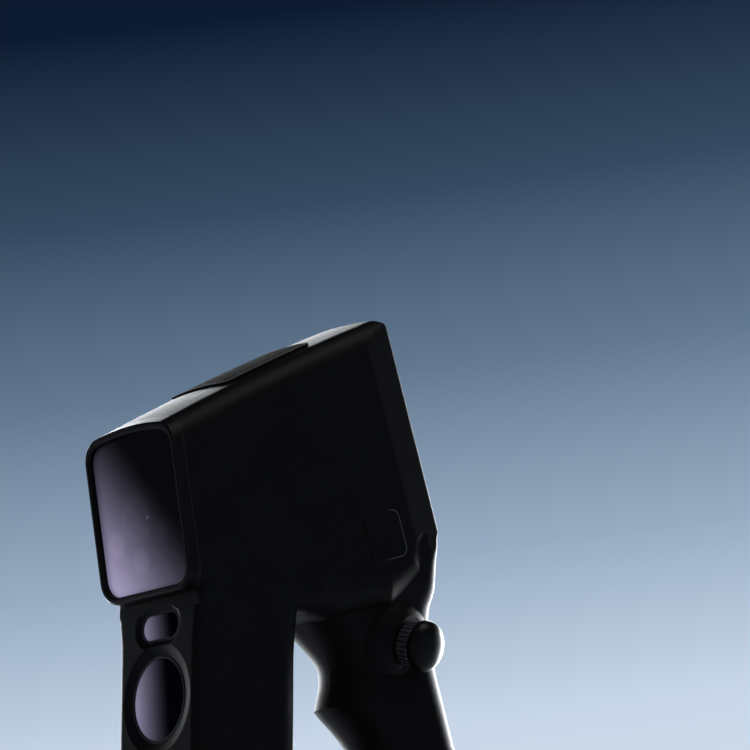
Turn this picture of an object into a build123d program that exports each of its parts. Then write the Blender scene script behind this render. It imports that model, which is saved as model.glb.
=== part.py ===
from build123d import *
import os
from math import cos, sin, pi, radians, degrees, sqrt

# Handheld 3D scanner: optical head over a front camera column, rear screen, and a slanted grip that
# closes the loop down to a flat base. Millimetres. +Z up, -Y is the scanning direction, +X is the
# side that carries the thumb control. The origin is the middle of the resting face, below the head.

os.makedirs("parts", exist_ok=True)

# ---- driving sizes -------------------------------------------------------------------------------
wall = 2.5                  # moulded housing wall
soft_gap = 0.3              # running gap of buttons, doors and loose seats
seat_gap = 0.1              # slip gap round pieces that are dropped into a pocket
pin_gap = 0.05              # radial clearance of pins and shafts

# head
head_width = 66.0
head_radius = 10.0          # rounding of the long head edges
belly_radius = 16.0         # rounding where the sides turn in to the neck
crown_rise = 3.0            # how far the top bows up between its edges
top_bow = 1500.0            # radius of the gentle bow along the top
face_tilt = 10.0            # window leans forward at the top, degrees
face_foot_y = -56.2
face_foot_z = 121.8
face_height = 71.0
top_slope = 31.3            # degrees, where the top leaves the window
belly_z = 119.0             # underside of the head over the column
belly_y = 12.0              # where the underside climbs into the neck
neck_top = 152.0            # underside of the head inside the neck
screen_tilt = 18.3          # rear face leans, degrees from vertical
screen_y = 56.4             # a point of the rear face
screen_z = 248.0
screen_foot_z = 163.5
facet_depth = 17.5          # tapered zone in front of the rear face
facet_inset = 3.0
corner_radius = 12.0        # top rear corner
rear_edge = 3.0             # rounding round the rear face

# column
column_width = 58.0
column_front = -50.0
column_rear = 8.0
column_front_radius = 4.0
column_rear_radius = 12.0
flare_start = 98.0          # where the column begins to widen into the head

# grip
hook_z = 82.5               # level of the hook under the index finger
grip_rear = 106.4           # rear of the grip at the hook
grip_lean = 0.326           # how far the rear moves back for each millimetre down

# base
foot_rise = 1.2             # how far the rubber foot stands out of the base
base_height = 20.0
base_rear = 131.0
base_rear_width = 42.0
base_bend = 20.0            # where the plan starts to narrow
base_corner = 16.0
base_edge = 4.0

# window frame and window
frame_depth = 6.0
frame_rim = 2.6
window_recess = 2.8
window_thickness = 1.6
window_ledge = 2.2

# optics behind the window
plate_depth = 14.0          # front of the optics plate behind the window's plane
plate_thickness = 2.5
flange_width = 3.0
flange_thickness = 3.0
projector_x, projector_y = -3.5, 0.0
projector_radius = 12.0
eye_radius = 5.0
eye_spots = [(-23.0, -9.8), (-7.8, -19.6), (13.8, -7.5)]

# lower camera and range sensor on the column
camera_z = 78.0
camera_radius = 19.1        # outside of the ring
ring_width = 1.2
ring_proud = 0.3
scoop_radius = 24.5
scoop_depth = 1.3
sensor_z = 109.8
sensor_width = 27.8
sensor_height = 13.0
sensor_rim = 1.1
sensor_scoop = 3.6
sensor_depth = 1.8

# vent
vent_along = 72.5           # middle of the vent from the front edge, along the slope
vent_width = 43.0
vent_length = 54.0
vent_rise = 0.9             # the ribs stand a little over the top
vent_drop = 1.2             # underside of the grille below the line of the head's top edges
vent_ledge = 2.0
vent_corner = 4.0
vent_seat = 3.0             # wall that carries the grille and the fan
slot_pitch = 3.0
slot_width = 1.6

# fan, heat sink and main board below the vent
fan_size = 40.0
fan_height = 10.0
fan_bore = 37.6
fan_hub = 8.5
fan_blades = 9
fan_floor = 1.4
fan_pin = 1.5
sink_height = 10.0
sink_base = 3.0
sink_pitch = 4.0
fin_thickness = 1.2
board_thickness = 1.6
board_length = 92.0
board_width = 54.0

# screen
glass_width = 51.0
glass_length = 72.0
glass_middle_z = 211.0
glass_radius = 5.0
glass_thickness = 1.4
glass_recess = 0.2
glass_ledge = 2.5
panel_thickness = 3.2
screen_depth = 12.6         # depth of the rear frame
foot_seam = 0.8             # the frame ends this far over the foot line
power_radius = 4.0
power_z = 170.0
power_travel = 0.7
power_proud = 0.5
board_post = 5.0            # posts that carry the switch board behind the rear wall
post_spread = 14.0

# port bay on the +X side
port_y = 49.9
port_z = 156.9
door_width = 21.4
door_height = 21.4
door_radius = 4.0
door_thickness = 2.0
hinge_radius = 1.5
hinge_pin = 0.7
bay_depth = 7.5
socket_width = 9.0
socket_height = 3.3
socket_rise = 4.5
socket_length = 7.0

# thumb control
knob_x, knob_y, knob_z = 21.9, 72.8, 112.2      # middle of the pod's face
knob_out = Vector(0.935, 0.268, -0.233)      # its axis
pod_radius = 12.4
pod_edge = 1.0              # rounding round its face
pod_depth = 12.0
pod_flare = 11.0            # how far its foot spreads into the grip
ring_radius = 10.2
ring_height = 4.8
ring_teeth = 28
tooth_depth = 0.7
collar_radius = 8.0
collar_wall = 1.6
collar_depth = 9.0
cap_radius = 11.7
cap_crown = 6.9
cap_edge = 1.6
cap_gap = 1.5               # shadow gap between cap and ring at rest
stem_radius = 3.0

# battery
battery_width = 26.0
battery_depth = 38.0
battery_length = 70.0
battery_y = 91.3            # its middle
battery_z = 50.0

# base cover, feet and screws
cover_thickness = 2.5
cover_margin = 6.0
foot_margin = 4.0           # edge of the cover round the foot
foot_thickness = 2.2
screw_radius = 1.5
screw_head = 2.8
boss_radius = 3.6

# ---- directions and planes -----------------------------------------------------------------------
def heading(angle):
    return Vector(0, cos(radians(angle)), sin(radians(angle)))

face_up = heading(90 + face_tilt)
face_out = heading(180 + face_tilt)
slope = heading(top_slope)
top_out = heading(90 + top_slope)
screen_up = heading(90 + screen_tilt)
screen_out = heading(screen_tilt)
face_foot = Vector(0, face_foot_y, face_foot_z)
face_top = face_foot + face_up * face_height
knob_axis = knob_out.normalized()
bow_centre = face_top - top_out * top_bow

def screen_at(height):
    """Point of the rear face, in the middle plane, at this height."""
    start = Vector(0, screen_y, screen_z)
    return start + screen_up * ((height - screen_z) / screen_up.Z)

def face_plane(depth):
    """Plane of the front window, moved inwards by depth; local y runs up the face."""
    return Plane(origin=face_foot + face_up * (face_height / 2) - face_out * depth, x_dir=(1, 0, 0), z_dir=face_out)

def bow_point(along, level):
    """Point over the bowed top: distance from its front edge, and height over it."""
    return bow_centre + heading(90 + top_slope - degrees(along / top_bow)) * (top_bow + level)

def top_plane(level):
    """Plane along the head's top at the middle of the vent; local y runs up the slope."""
    return Plane(origin=bow_point(vent_along, level), x_dir=(1, 0, 0),
                 z_dir=(bow_point(vent_along, 1) - bow_point(vent_along, 0)))

def screen_plane(depth, height=glass_middle_z):
    """Plane of the rear face, moved inwards by depth; local y runs up the face."""
    return Plane(origin=screen_at(height) - screen_out * depth, x_dir=(-1, 0, 0), z_dir=screen_out)

def port_plane(depth):
    """Side face at the port bay, moved inwards by depth; local x runs to the rear, y up the slant."""
    return Plane(origin=(head_width / 2 - depth, port_y, port_z), x_dir=screen_out, z_dir=(1, 0, 0))

def knob_plane(out):
    """Plane across the thumb control's axis, out from the pod's face."""
    return Plane(origin=Vector(knob_x, knob_y, knob_z) + knob_axis * out, z_dir=knob_axis)

# ---- outer form ----------------------------------------------------------------------------------
def meets_top(start, upward, level):
    """Where a line of the side view runs out through the bowed top, raised by level."""
    reach = start - bow_centre
    along = reach.dot(upward)
    return start + upward * (sqrt(along ** 2 - reach.dot(reach) + (top_bow + level) ** 2) - along)

def rear_taper(inset):
    """What both sides lose in front of the rear face, down along the neck, with its rounded edge."""
    half = head_width / 2 - inset
    edge = half - facet_inset
    with BuildPart() as form:
        with BuildSketch(Plane(origin=screen_at(200), x_dir=(1, 0, 0), z_dir=screen_up)) as taper:
            with BuildLine():
                Polyline((half, -facet_depth), (edge, -inset), (edge - 8, -inset), (edge - 8, 5), (half + 5, 5),
                         (half + 5, -facet_depth), close=True)
            make_face()
            fillet(taper.vertices().sort_by_distance((edge, -inset))[0], radius=rear_edge)
            mirror(about=Plane.YZ)
        extrude(amount=140, both=True)
    return form.part

def head_form(inset=0.0):
    """Optical head: side profile and a rounded belly that runs down into the neck, trimmed by a crowned
    section turned along the bowed top, its rear zone taken in on both sides. inset moves every face
    inwards, which makes the cavity of the same form."""
    half = head_width / 2 - inset
    radius = head_radius - inset * 0.6
    over = crown_rise + 0.8 - inset
    front = face_foot - face_out * inset
    rear_foot = screen_at(screen_foot_z) - screen_out * inset
    top_front = meets_top(front, face_up, over)
    top_rear = meets_top(rear_foot, screen_up, over)
    top_middle = bow_point((top_front - top_rear).length / 2, over)
    with BuildPart() as belly:
        with BuildSketch(Plane.YZ):
            with BuildLine():
                Polyline((rear_foot.Y - 1, rear_foot.Z), (screen_y + 22 - inset, belly_z + 21), (screen_y + 3, belly_z + 7 + inset),
                         (belly_y + 18, belly_z + inset), (-belly_y, belly_z + inset),
                         (-belly_y, screen_foot_z + 4), (rear_foot.Y - 1.5, screen_foot_z + 4), close=True)
            make_face()
        extrude(amount=half, both=True)
        low = belly.edges().filter_by(lambda e: e.center().Z < screen_foot_z and e.center().Y > -belly_y + 1
                                      and abs(abs(e.center().X) - half) < 0.01)
        fillet(low, radius=belly_radius - inset * 0.6)
    with BuildPart() as form:
        with BuildSketch(Plane.YZ) as side:
            with BuildLine():
                Polyline((top_rear.Y, top_rear.Z), (rear_foot.Y, rear_foot.Z), (belly_y + 14, neck_top),
                         (belly_y, belly_z + inset), (front.Y, face_foot_z + inset), (top_front.Y, top_front.Z))
                ThreePointArc((top_front.Y, top_front.Z), (top_middle.Y, top_middle.Z), (top_rear.Y, top_rear.Z))
            make_face()
            fillet(side.vertices().sort_by_distance((top_rear.Y, top_rear.Z))[0], radius=corner_radius)
        extrude(amount=half, both=True)
        low = form.edges().filter_by(lambda e: e.center().Z < face_foot_z + wall and abs(abs(e.center().X) - half) < 0.01)
        fillet(low, radius=radius)
        add(belly.part)
        start = bow_point(-40, 0)
        with BuildSketch(Plane(origin=start, x_dir=(1, 0, 0), z_dir=-(bow_point(-39, 0) - start).normalized())) as section:
            with BuildLine():
                edge = -inset
                ThreePointArc((-half, edge), (0, crown_rise - inset), (half, edge))
                Polyline((half, edge), (half, -240), (-half, -240), (-half, edge))
            make_face()
            fillet(section.vertices().group_by(Axis.Y)[-1], radius=radius)
        revolve(axis=Axis(bow_centre, (-1, 0, 0)), revolution_arc=9, mode=Mode.INTERSECT)
        add(rear_taper(inset), mode=Mode.SUBTRACT)
    return form.part

def column_form(inset=0.0):
    """Front column: an upright post whose sides flare out to the head's width."""
    half, foot = column_width / 2 - inset, foot_rise + inset
    wide, top = head_width / 2 - inset, belly_z + belly_radius
    with BuildPart() as form:
        with BuildSketch(Plane.XZ.offset(-column_front - inset)):
            with BuildLine():
                Polyline((0, top), (0, foot), (half, foot), (half, flare_start))
                Spline((half, flare_start), (wide, top), tangents=((0, 1), (0, 1)), tangent_scalars=(0.8, 0.8))
                Line((wide, top), (0, top))
            make_face()
            mirror(about=Plane.YZ)
        extrude(amount=-(column_rear - column_front - 2 * inset))
        corners = form.edges().filter_by(lambda e: abs(e.center().X) > half - 1 and e.center().Z < top - 0.1
                                         and e.center().Z > foot + 1)
        middle = (column_front + column_rear) / 2
        fillet(corners.filter_by(lambda e: e.center().Y < middle - 5), radius=column_front_radius - inset * 0.5)
        corners = form.edges().filter_by(lambda e: abs(e.center().X) > half - 1 and foot + 1 < e.center().Z < top - 0.1)
        fillet(corners.filter_by(lambda e: e.center().Y > column_rear - inset - 0.1), radius=column_rear_radius - inset)
    return form.part

# grip sections from the screen's foot down into the base: height, front, how far the rear stands back
# from the grip's straight rear line, half width at the front and at the rear, corner radius
neck_sections = [(164, 23.0, 4.1, 32.4, 32.2, 3.5), (157, 22.0, 1.6, 32.2, 31.6, 5.0), (150, 21.0, 0.3, 32.0, 30.9, 7.5),
                 (143, 20.0, 0, 31.4, 29.4, 10.0), (137, 20.0, 0, 30.2, 27.0, 12.0), (131, 20.6, 0, 28.2, 23.0, 15.0),
                 (125, 22.6, 0, 25.4, 20.5, 16.6), (118, 28.0, 0, 22.4, 19.2, 17.2), (111, 35.3, 0, 20.0, 18.7, 17.5),
                 (105, 41.0, 0, 18.9, 18.5, 17.5), (99, 43.7, 0, 18.5, 18.5, 17.5), (93, 43.7, 0, 18.5, 18.5, 17.5),
                 (87, 42.3, 0, 18.5, 18.5, 17.5), (hook_z, 41.3, 0, 18.5, 18.5, 17.5)]
grip_sections = [(hook_z, 41.3, 0, 18.5, 18.5, 17.5), (75.5, 50.0, 0, 18.5, 18.5, 17.5), (68.5, 57.4, 0, 18.5, 18.5, 17.5),
                 (61.5, 62.0, 0, 18.5, 18.5, 17.5), (54, 64.9, 0, 18.5, 18.5, 17.5), (46, 66.8, 0, 18.5, 18.5, 17.5),
                 (38, 68.0, 0, 18.5, 18.5, 17.5), (30, 68.9, 0, 18.5, 18.5, 17.5), (22, 69.6, 0, 18.5, 18.5, 17.5),
                 (14, 70.2, 0, 18.5, 18.5, 17.5)]

def grip_block(sections, inset):
    with BuildPart() as form:
        for height, front, back, fore, aft, corner in sections:
            rear = grip_rear + (hook_z - height) * grip_lean + back - inset
            with BuildSketch(Plane.XY.offset(height)) as section:
                with BuildLine():
                    Polyline((-fore + inset, front + inset), (fore - inset, front + inset), (aft - inset, rear),
                             (-aft + inset, rear), close=True)
                make_face()
                fillet(section.vertices(), radius=corner - inset)
        loft()
    return form.part

def grip_form(inset=0.0):
    """Grip: rounded sections that follow the lean of the screen; the neck ends in a hook over the
    index finger, and the lower grip starts further back under it."""
    with BuildPart() as form:
        add(grip_block(neck_sections, inset))
        add(rear_taper(inset), mode=Mode.SUBTRACT)
        add(grip_block(grip_sections, inset))
    return form.part

def base_form(inset=0.0):
    """Foot of the loop, from the column to the grip, narrowing to the rear."""
    wide, narrow = column_width / 2 - inset, base_rear_width / 2 - inset
    with BuildPart() as form:
        with BuildSketch(Plane.XY.offset(foot_rise + inset)) as plan:
            with BuildLine():
                Polyline((-wide, column_front + inset), (wide, column_front + inset), (wide, base_bend),
                         (narrow, base_rear - inset), (-narrow, base_rear - inset), (-wide, base_bend), close=True)
            make_face()
            fillet(plan.vertices().group_by(Axis.Y)[0], radius=column_front_radius - inset * 0.5)
            fillet(plan.vertices().group_by(Axis.Y)[-1], radius=base_corner - inset)
        extrude(amount=base_height - foot_rise - 2 * inset)
        if inset == 0:
            top = form.faces().sort_by(Axis.Z)[-1]
            fillet(top.edges(), radius=base_edge)
            fillet(form.faces().sort_by(Axis.Z)[0].edges(), radius=1)
    return form.part

def pod_form():
    """Boss that carries the thumb control and spreads softly into the side of the grip."""
    centre = Vector(knob_x, knob_y, knob_z)
    side = knob_plane(0).x_dir
    with BuildPart() as form:
        with BuildSketch(Plane(origin=centre, x_dir=side, z_dir=side.cross(knob_axis))) as profile:
            with BuildLine():
                Polyline((pod_radius, 0), (0, 0), (0, -pod_depth), (pod_radius + pod_flare, -pod_depth))
                ThreePointArc((pod_radius + pod_flare, -pod_depth), (pod_radius + pod_flare * 0.56, -pod_depth * 0.32),
                              (pod_radius, 0))
            make_face()
            fillet(profile.vertices().sort_by_distance((pod_radius, 0))[0], radius=pod_edge)
        revolve(axis=Axis(centre, knob_axis), revolution_arc=360)
    return form.part

head = head_form()
with BuildPart() as envelope:
    add(head)
    add(grip_form())
    add(column_form())
    add(base_form())
    add(pod_form())

with BuildPart() as cavity:
    add(head_form(wall))
    add(grip_form(wall))
    add(column_form(wall))
    add(base_form(wall))

def window_outline(margin):
    """Outline of the head's front face, moved inwards by margin."""
    half = head_width / 2 - margin
    low, high = -face_height / 2 + margin, face_height / 2 - margin
    with BuildSketch() as outline:
        with BuildLine():
            Polyline((-half, high), (-half, low), (half, low), (half, high))
            ThreePointArc((half, high), (0, high + crown_rise), (-half, high))
        make_face()
        fillet(outline.vertices(), radius=head_radius - margin * 0.6)
    return outline.sketch

def pill(width, height):
    with BuildSketch() as outline:
        RectangleRounded(width, height, height / 2 - 0.01)
    return outline.sketch

# ---- window frame and front window ---------------------------------------------------------------
glass_margin = frame_rim
with BuildPart() as window_frame:
    add(head)
    split(bisect_by=face_plane(frame_depth), keep=Keep.TOP)
    with BuildSketch(face_plane(0)):
        add(window_outline(glass_margin))
    extrude(amount=-(window_recess + window_thickness), mode=Mode.SUBTRACT)
    with BuildSketch(face_plane(0)):
        add(window_outline(glass_margin + window_ledge))
    extrude(amount=-frame_depth - 1, mode=Mode.SUBTRACT)
    front_face = window_frame.faces().filter_by(lambda f: f.normal_at().dot(face_out) > 0.999).sort_by(
        lambda f: f.center().dot(face_out))[-1]
    chamfer(front_face.edges(), length=0.8)
window_frame.part.label = "window_frame"

with BuildPart() as front_window:
    with BuildSketch(face_plane(window_recess + window_thickness)):
        add(window_outline(glass_margin + seat_gap))
    extrude(amount=window_thickness)
front_window.part.label = "front_window"

# ---- optics plate with projector and cameras -----------------------------------------------------
with BuildPart() as optics_plate:
    with BuildSketch(face_plane(plate_depth + plate_thickness)):
        add(window_outline(wall + soft_gap))
        with Locations((projector_x, projector_y)):
            Circle(projector_radius - 1.5 + seat_gap, mode=Mode.SUBTRACT)
        with Locations(*eye_spots):
            Circle(eye_radius - 1.2 + seat_gap, mode=Mode.SUBTRACT)
    extrude(amount=plate_thickness)
optics_plate.part.label = "optics_plate"

barrel_reach = plate_depth - window_recess - window_thickness - 2.6   # barrels stop short of the glass
with BuildPart() as projector_barrel:
    with BuildSketch(face_plane(plate_depth)):
        with Locations((projector_x, projector_y)):
            Circle(projector_radius)
    extrude(amount=barrel_reach)
    with BuildSketch(face_plane(plate_depth)):
        with Locations((projector_x, projector_y)):
            Circle(projector_radius - 1.5)
    extrude(amount=-24)
    with BuildSketch(face_plane(plate_depth - barrel_reach)):
        with Locations((projector_x, projector_y)):
            Circle(projector_radius - 1.6)
    extrude(amount=-1.5, mode=Mode.SUBTRACT)
    with BuildSketch(face_plane(plate_depth - barrel_reach)):
        with Locations((projector_x, projector_y)):
            Circle(projector_radius - 3.6)
    extrude(amount=-6, mode=Mode.SUBTRACT)
projector_barrel.part.label = "projector_barrel"

with BuildPart() as projector_lens:
    with BuildSketch(face_plane(plate_depth - barrel_reach + 1.5)):
        with Locations((projector_x, projector_y)):
            Circle(projector_radius - 1.6 - pin_gap)
    extrude(amount=1.2)
projector_lens.part.label = "projector_lens"

eye_reach = barrel_reach - 0.6
with BuildPart() as camera_barrels:
    with BuildSketch(face_plane(plate_depth)):
        with Locations(*eye_spots):
            Circle(eye_radius)
    extrude(amount=eye_reach)
    with BuildSketch(face_plane(plate_depth)):
        with Locations(*eye_spots):
            Circle(eye_radius - 1.2)
    extrude(amount=-10)
    with BuildSketch(face_plane(plate_depth - eye_reach)):
        with Locations(*eye_spots):
            Circle(eye_radius - 1.0)
    extrude(amount=-1.2, mode=Mode.SUBTRACT)
camera_barrels.part.label = "camera_barrels"

with BuildPart() as camera_lenses:
    with BuildSketch(face_plane(plate_depth - eye_reach + 1.2)):
        with Locations(*eye_spots):
            Circle(eye_radius - 1.0 - pin_gap)
    extrude(amount=0.9)
camera_lenses.part.label = "camera_lenses"

# ---- lower camera and range sensor on the column -------------------------------------------------
def front_plane(depth, height):
    """Front of the column, moved inwards by depth; local y runs up."""
    return Plane(origin=(0, column_front + depth, height), x_dir=(1, 0, 0), z_dir=(0, -1, 0))

camera_seat = 5.0           # depth of the ring's seat behind the front
with BuildPart() as camera_ring:
    with BuildSketch(front_plane(camera_seat, camera_z)):
        Circle(camera_radius)
        Circle(camera_radius - ring_width - 1.5, mode=Mode.SUBTRACT)
    extrude(amount=camera_seat - scoop_depth + ring_proud)
    with BuildSketch(front_plane(scoop_depth - ring_proud, camera_z)):
        Circle(camera_radius - ring_width)
    extrude(amount=-2.2, mode=Mode.SUBTRACT)
    rim = camera_ring.edges().group_by(Axis.Y)[0]
    chamfer(rim, length=0.3)
camera_ring.part.label = "camera_ring"

with BuildPart() as camera_window:
    with BuildSketch(front_plane(scoop_depth - ring_proud + 2.2, camera_z)):
        Circle(camera_radius - ring_width - pin_gap)
    extrude(amount=1.7)
camera_window.part.label = "camera_window"

with BuildPart() as camera_module:
    with BuildSketch(front_plane(camera_seat + 2 + 16, camera_z)):
        RectangleRounded(38, 38, 3)
    extrude(amount=16)
    with BuildSketch(front_plane(camera_seat + 2, camera_z)):
        Circle(13)
    extrude(amount=2.6)
    with BuildSketch(front_plane(camera_seat - 0.6, camera_z)):
        Circle(9.5)
    extrude(amount=-3, mode=Mode.SUBTRACT)
camera_module.part.label = "camera_module"

with BuildPart() as camera_lens:
    with BuildSketch(front_plane(camera_seat - 0.6 + 3, camera_z)):
        Circle(9.5 - pin_gap)
    extrude(amount=1.4)
    with BuildSketch(front_plane(camera_seat - 0.6 + 1.6, camera_z)):
        Circle(7.5)
    extrude(amount=1.1, taper=35)
camera_lens.part.label = "camera_lens"

sensor_seat = 4.6
with BuildPart() as sensor_ring:
    with BuildSketch(front_plane(sensor_seat, sensor_z)):
        add(pill(sensor_width, sensor_height))
        add(pill(sensor_width - 2 * sensor_rim - 2.4, sensor_height - 2 * sensor_rim - 2.4), mode=Mode.SUBTRACT)
    extrude(amount=sensor_seat - sensor_depth + 0.2)
    with BuildSketch(front_plane(sensor_depth - 0.2, sensor_z)):
        add(pill(sensor_width - 2 * sensor_rim, sensor_height - 2 * sensor_rim))
    extrude(amount=-1.4, mode=Mode.SUBTRACT)
sensor_ring.part.label = "sensor_ring"

with BuildPart() as sensor_window:
    with BuildSketch(front_plane(sensor_depth + 1.2, sensor_z)):
        add(pill(sensor_width - 2 * sensor_rim - 2 * pin_gap, sensor_height - 2 * sensor_rim - 2 * pin_gap))
    extrude(amount=1.0)
sensor_window.part.label = "sensor_window"

with BuildPart() as sensor_module:
    with BuildSketch(front_plane(sensor_seat + 2 + 6, sensor_z)):
        RectangleRounded(26, 13, 1.5)
    extrude(amount=6)
    with BuildSketch(front_plane(sensor_seat + 2, sensor_z)):
        with Locations((-6.5, 0), (6.5, 0)):
            Circle(2.6)
    extrude(amount=3)
sensor_module.part.label = "sensor_module"

# ---- vent, fan, heat sink and board --------------------------------------------------------------
with BuildPart() as vent_grille:
    with BuildSketch(top_plane(-vent_drop)):
        RectangleRounded(vent_width - 2 * seat_gap, vent_length - 2 * seat_gap, vent_corner - seat_gap)
    extrude(amount=10)
    add(head_form(-vent_rise), mode=Mode.INTERSECT)
    slots = int((vent_width - 2 * vent_ledge) / slot_pitch)
    with BuildSketch(top_plane(-vent_drop)):
        with GridLocations(slot_pitch, 1, slots, 1):
            Rectangle(slot_width, vent_length - 2 * vent_ledge - 1)
    extrude(amount=10, mode=Mode.SUBTRACT)
vent_grille.part.label = "vent_grille"

fan_top = -vent_drop - vent_seat
fan_foot = fan_top - fan_height
fan_corner = fan_size - 7
blade_tip = fan_bore / 2 - 0.5
with BuildPart() as fan_frame:
    with BuildSketch(top_plane(fan_top)):
        RectangleRounded(fan_size, fan_size, 3)
        Circle(fan_bore / 2, mode=Mode.SUBTRACT)
        with GridLocations(fan_corner, fan_corner, 2, 2):
            Circle(screw_radius + seat_gap, mode=Mode.SUBTRACT)
    extrude(amount=-fan_height)
    with BuildSketch(top_plane(fan_foot)):
        Circle(fan_hub)
        with PolarLocations((fan_hub + fan_bore / 2) / 2, 3, start_angle=30):
            Rectangle(fan_bore / 2 - fan_hub + 2, 2.4)
    extrude(amount=fan_floor)
    with BuildSketch(top_plane(fan_foot)):
        Circle(fan_pin)
    extrude(amount=fan_height - 3)
fan_frame.part.label = "fan_frame"

with BuildPart() as fan_rotor:
    with BuildSketch(top_plane(fan_top - 0.8)):
        Circle(fan_hub)
    extrude(amount=-(fan_height - 0.8 - fan_floor - soft_gap))
    hub_plane = top_plane((fan_top + fan_foot) / 2 + 0.3)
    for blade in range(fan_blades):
        turn = 2 * pi * blade / fan_blades
        radial = hub_plane.x_dir * cos(turn) + hub_plane.y_dir * sin(turn)
        along = hub_plane.y_dir * cos(turn) - hub_plane.x_dir * sin(turn)
        with BuildSketch(Plane(origin=hub_plane.origin + radial * (fan_hub - 1), x_dir=along, z_dir=radial)):
            with BuildLine():
                Polyline((-3.6, -2.6), (-2.4, -2.8), (3.4, 2.4), (2.2, 2.8), close=True)
            make_face()
        extrude(amount=blade_tip - fan_hub + 1)
    with BuildSketch(top_plane(fan_foot)):
        Circle(fan_pin + pin_gap)
    extrude(amount=fan_height - 2.7, mode=Mode.SUBTRACT)
fan_rotor.part.label = "fan_rotor"

with BuildPart() as fan_screws:
    with BuildSketch(top_plane(fan_foot)):
        with GridLocations(fan_corner, fan_corner, 2, 2):
            Circle(screw_radius)
    extrude(amount=fan_height + vent_seat - 0.5)
fan_screws.part.label = "fan_screws"

sink_foot = fan_foot - sink_height - sink_base
with BuildPart() as heat_sink:
    with BuildSketch(top_plane(sink_foot)):
        RectangleRounded(fan_size, fan_size, 1)
    extrude(amount=sink_base)
    with BuildSketch(top_plane(sink_foot + sink_base)):
        with GridLocations(sink_pitch, 1, int(fan_size / sink_pitch), 1):
            Rectangle(fin_thickness, fan_size)
    extrude(amount=sink_height)
    with BuildSketch(top_plane(sink_foot + sink_base)):
        with GridLocations(fan_corner, fan_corner, 2, 2):
            Circle(screw_radius + 2)
    extrude(amount=sink_height, mode=Mode.SUBTRACT)
heat_sink.part.label = "heat_sink"

with BuildPart() as main_board:
    with BuildSketch(top_plane(sink_foot)):
        RectangleRounded(board_width, board_length, 3)
    extrude(amount=-board_thickness)
    with BuildSketch(top_plane(sink_foot)):
        with Locations((-14, 33), (12, 34), (-12, -34), (13, -33)):
            Rectangle(14, 12)
    extrude(amount=2.4)
main_board.part.label = "main_board"

# ---- rear screen ---------------------------------------------------------------------------------
opening_width, opening_length = glass_width - 2 * glass_ledge, glass_length - 2 * glass_ledge
glass_seat = glass_recess + glass_thickness
button_height = (power_z - glass_middle_z) / screen_up.Z
with BuildPart() as screen_slab:
    add(head)
    split(bisect_by=screen_plane(screen_depth), keep=Keep.TOP)
    split(bisect_by=Plane(origin=screen_at(screen_foot_z + foot_seam), x_dir=(1, 0, 0), z_dir=screen_up), keep=Keep.TOP)
screen_block = screen_slab.part

with BuildPart() as display_frame:
    add(screen_block)
    add(head_form(wall), mode=Mode.SUBTRACT)
    with BuildSketch(screen_plane(wall + 2)):
        RectangleRounded(glass_width + 3, glass_length + 2, glass_radius + 1)
    extrude(amount=3)
    with BuildSketch(screen_plane(wall + board_post)):
        with Locations((-post_spread, button_height), (post_spread, button_height)):
            Circle(2.4)
    extrude(amount=board_post + 1)
    with BuildSketch(screen_plane(0)):
        RectangleRounded(glass_width + 2 * seat_gap, glass_length + 2 * seat_gap, glass_radius + seat_gap)
    extrude(amount=-glass_seat, mode=Mode.SUBTRACT)
    with BuildSketch(screen_plane(0)):
        RectangleRounded(opening_width, opening_length, glass_radius - 2)
    extrude(amount=-8, mode=Mode.SUBTRACT)
    with BuildSketch(screen_plane(0)):
        with Locations((0, button_height)):
            Circle(power_radius + soft_gap)
    extrude(amount=-wall - 1, mode=Mode.SUBTRACT)
display_frame.part.label = "display_frame"

with BuildPart() as touch_glass:
    with BuildSketch(screen_plane(glass_seat)):
        RectangleRounded(glass_width, glass_length, glass_radius)
    extrude(amount=glass_thickness)
touch_glass.part.label = "touch_glass"

with BuildPart() as display_panel:
    with BuildSketch(screen_plane(glass_seat)):
        RectangleRounded(opening_width - 2 * seat_gap, opening_length - 2 * seat_gap, glass_radius - 2 - seat_gap)
    extrude(amount=-panel_thickness)
display_panel.part.label = "display_panel"

with BuildPart() as power_button:
    with BuildSketch(screen_plane(wall + soft_gap)):
        with Locations((0, button_height)):
            Circle(power_radius)
    extrude(amount=wall + soft_gap + power_proud)
    fillet(power_button.edges().group_by(lambda e: round(e.center().dot(screen_out), 2))[-1], radius=0.4)
    with BuildSketch(screen_plane(wall + soft_gap)):
        with Locations((0, button_height)):
            Circle(power_radius + 1)
    extrude(amount=-1)
power_button.part.label = "power_button"

with BuildPart() as power_switch:
    with BuildSketch(screen_plane(wall + board_post)):
        with Locations((0, button_height)):
            RectangleRounded(2 * post_spread + 8, 8, 2)
    extrude(amount=-1.2)
    with BuildSketch(screen_plane(wall + board_post)):
        with Locations((0, button_height)):
            Rectangle(6, 6)
    extrude(amount=board_post - soft_gap - 1 - power_travel - 0.1)
power_switch.part.label = "power_switch"

# ---- port bay and its door -----------------------------------------------------------------------
hinge_x = -door_width / 2 + hinge_radius
door_rear = door_width / 2
def door_outline(grow):
    """Door outline: square at the hinge, rounded where it opens."""
    with BuildSketch() as outline:
        with BuildLine():
            Polyline((hinge_x, door_height / 2 + grow), (door_rear + grow, door_height / 2 + grow),
                     (door_rear + grow, -door_height / 2 - grow), (hinge_x, -door_height / 2 - grow), close=True)
        make_face()
        fillet(outline.vertices().group_by(Axis.X)[-1], radius=door_radius + grow)
    return outline.sketch

def hinge_plane(start):
    """Across the door's hinge; local x runs to the rear, local y inwards from the side face."""
    pin = port_plane(hinge_radius)
    return Plane(origin=pin.origin + pin.x_dir * hinge_x + pin.y_dir * start, x_dir=pin.x_dir, z_dir=pin.y_dir)

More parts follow.
